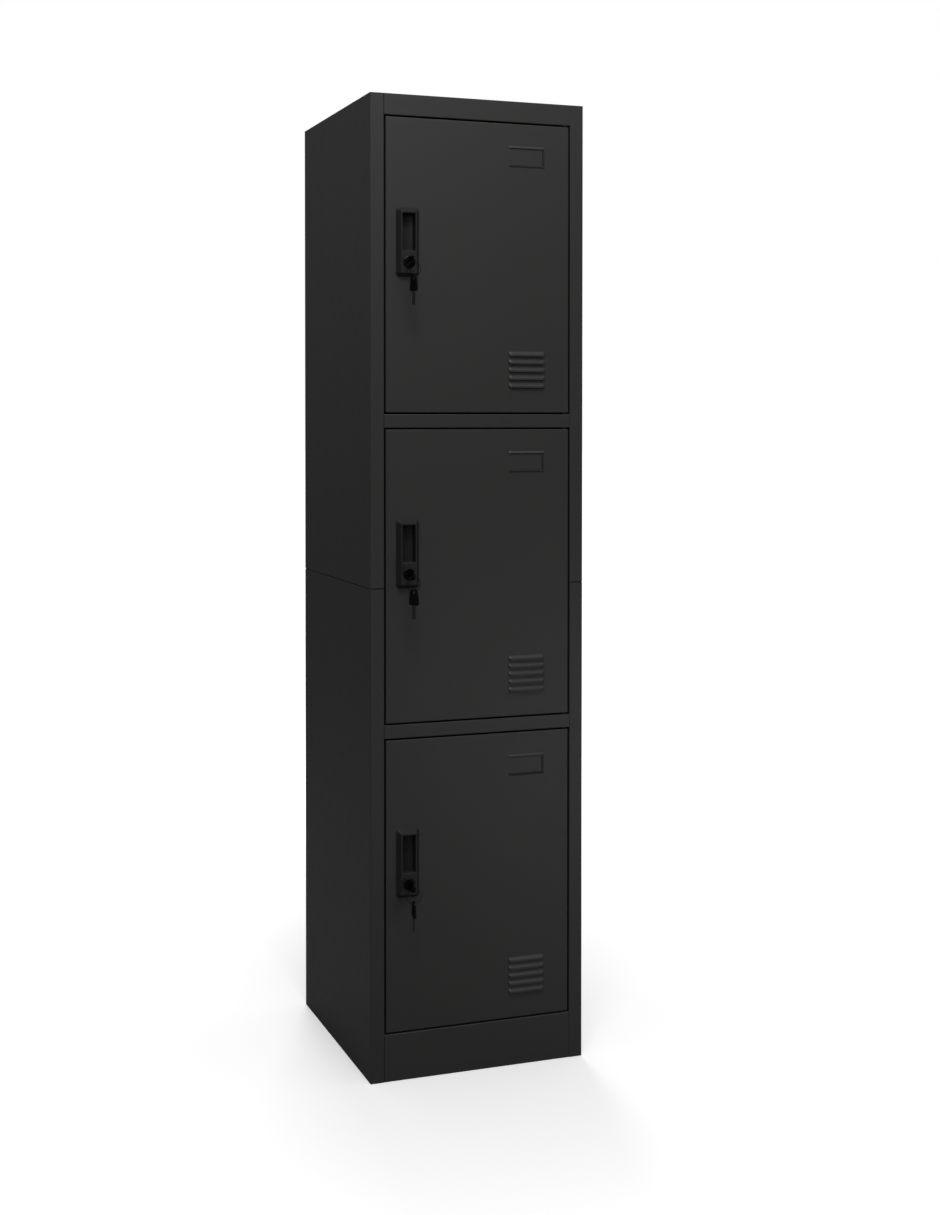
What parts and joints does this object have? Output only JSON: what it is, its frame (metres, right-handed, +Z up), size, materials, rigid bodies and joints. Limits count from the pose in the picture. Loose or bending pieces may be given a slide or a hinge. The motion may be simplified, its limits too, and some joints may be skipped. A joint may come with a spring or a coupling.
{
  "type": "locker cabinet",
  "caption": "Tall steel locker cabinet with lockers stacked in one column, inset doors with louvres and card frames, recessed pulls, cam locks and keys.",
  "frame": {"origin": "centre of the bounding box at floor level; the keys stand out in front, so this is 24 mm in front of the middle of the carcass", "axes": "+Z up, +X to the hinge side of the doors, -Y towards the user: the doors are the front"},
  "size_m": [0.42, 0.4974, 1.8],
  "materials": {
    "steel": "anthracite powder coat, satin with a fine orange peel",
    "pull_plastic": "moulded, fine texture",
    "black_plastic": "moulded, satin",
    "black_metal": "black plated zinc alloy",
    "zinc": "zinc plate",
    "nylon": "black nylon, matt",
    "rubber": "matt"
  },
  "bodies": {
    "carcass": {"side_panel_left_upper": "steel", "side_panel_left_lower": "steel", "side_panel_right_upper": "steel", "side_panel_right_lower": "steel", "back_panel_upper": "steel", "back_panel_lower": "steel", "top_panel": "steel", "shelf_upper": "steel", "shelf_lower": "steel", "bottom_panel": "steel", "plinth": "steel", "hinge_bush_upper_top": "nylon", "hinge_bush_lower_top": "nylon", "door_bumper_top": "rubber", "hinge_bush_upper_middle": "nylon", "hinge_bush_lower_middle": "nylon", "door_bumper_middle": "rubber", "hinge_bush_upper_bottom": "nylon", "hinge_bush_lower_bottom": "nylon", "door_bumper_bottom": "rubber"},
    "door_top": {"door_panel_top": "steel", "door_stiffener_top": "steel", "hinge_pin_upper_top": "black_metal", "hinge_pin_lower_top": "black_metal", "pull_handle_top": "pull_plastic", "lock_barrel_top": "black_metal", "lock_nut_top": "zinc"},
    "lock_top": {"lock_plug_top": "black_metal", "lock_cam_top": "zinc", "cam_screw_top": "zinc"},
    "key_top": {"key_top": "black_plastic"},
    "ring_top": {"key_ring_top": "black_metal"},
    "spare_top": {"spare_key_top": "black_plastic"},
    "door_middle": {"door_panel_middle": "steel", "door_stiffener_middle": "steel", "hinge_pin_upper_middle": "black_metal", "hinge_pin_lower_middle": "black_metal", "pull_handle_middle": "pull_plastic", "lock_barrel_middle": "black_metal", "lock_nut_middle": "zinc"},
    "lock_middle": {"lock_plug_middle": "black_metal", "lock_cam_middle": "zinc", "cam_screw_middle": "zinc"},
    "key_middle": {"key_middle": "black_plastic"},
    "ring_middle": {"key_ring_middle": "black_metal"},
    "spare_middle": {"spare_key_middle": "black_plastic"},
    "door_bottom": {"door_panel_bottom": "steel", "door_stiffener_bottom": "steel", "hinge_pin_upper_bottom": "black_metal", "hinge_pin_lower_bottom": "black_metal", "pull_handle_bottom": "pull_plastic", "lock_barrel_bottom": "black_metal", "lock_nut_bottom": "zinc"},
    "lock_bottom": {"lock_plug_bottom": "black_metal", "lock_cam_bottom": "zinc", "cam_screw_bottom": "zinc"},
    "key_bottom": {"key_bottom": "black_plastic"},
    "ring_bottom": {"key_ring_bottom": "black_metal"},
    "spare_bottom": {"spare_key_bottom": "black_plastic"}
  },
  "joints": [
    {"name": "door_top_hinge", "type": "hinge", "parent": "carcass", "child": "door_top", "pos_m": [0.1735, -0.19533, 1.223], "axis": [0, 0, 1], "range_deg": [0, 110]},
    {"name": "lock_top_turn", "type": "hinge", "parent": "door_top", "child": "lock_top", "pos_m": [-0.139, -0.20133, 1.4955], "axis": [0, 1, 0], "range_deg": [0, 90]},
    {"name": "key_top_slide", "type": "slide", "parent": "lock_top", "child": "key_top", "axis": [0, -1, 0], "range_m": [0, 0.03]},
    {"name": "ring_top_turn", "type": "hinge", "parent": "key_top", "child": "ring_top", "pos_m": [-0.139, -0.23763, 1.4895], "axis": [0, 1, 0], "range_deg": [-63, 0]},
    {"name": "spare_top_swing", "type": "hinge", "parent": "ring_top", "child": "spare_top", "pos_m": [-0.139, -0.23763, 1.4649], "axis": [0.9511, 0.309, 0], "range_deg": [-60, 25]},
    {"name": "door_middle_hinge", "type": "hinge", "parent": "carcass", "child": "door_middle", "pos_m": [0.1735, -0.19533, 0.6565], "axis": [0, 0, 1], "range_deg": [0, 110]},
    {"name": "lock_middle_turn", "type": "hinge", "parent": "door_middle", "child": "lock_middle", "pos_m": [-0.139, -0.20133, 0.929], "axis": [0, 1, 0], "range_deg": [0, 90]},
    {"name": "key_middle_slide", "type": "slide", "parent": "lock_middle", "child": "key_middle", "axis": [0, -1, 0], "range_m": [0, 0.03]},
    {"name": "ring_middle_turn", "type": "hinge", "parent": "key_middle", "child": "ring_middle", "pos_m": [-0.139, -0.23763, 0.923], "axis": [0, 1, 0], "range_deg": [-63, 0]},
    {"name": "spare_middle_swing", "type": "hinge", "parent": "ring_middle", "child": "spare_middle", "pos_m": [-0.139, -0.23763, 0.8984], "axis": [0.848, 0.5299, 0], "range_deg": [-60, 25]},
    {"name": "door_bottom_hinge", "type": "hinge", "parent": "carcass", "child": "door_bottom", "pos_m": [0.1735, -0.19533, 0.09], "axis": [0, 0, 1], "range_deg": [0, 110]},
    {"name": "lock_bottom_turn", "type": "hinge", "parent": "door_bottom", "child": "lock_bottom", "pos_m": [-0.139, -0.20133, 0.3625], "axis": [0, 1, 0], "range_deg": [0, 90]},
    {"name": "key_bottom_slide", "type": "slide", "parent": "lock_bottom", "child": "key_bottom", "axis": [0, -1, 0], "range_m": [0, 0.03]},
    {"name": "ring_bottom_turn", "type": "hinge", "parent": "key_bottom", "child": "ring_bottom", "pos_m": [-0.139, -0.23763, 0.3565], "axis": [0, 1, 0], "range_deg": [-63, 0]},
    {"name": "spare_bottom_swing", "type": "hinge", "parent": "ring_bottom", "child": "spare_bottom", "pos_m": [-0.139, -0.23763, 0.3319], "axis": [0.9994, -0.0349, 0], "range_deg": [-60, 25]}
  ],
  "couplings": [
    {"joint": "ring_top_turn", "follows": "lock_top_turn", "ratio": -0.7},
    {"joint": "ring_middle_turn", "follows": "lock_middle_turn", "ratio": -0.7},
    {"joint": "ring_bottom_turn", "follows": "lock_bottom_turn", "ratio": -0.7}
  ]
}
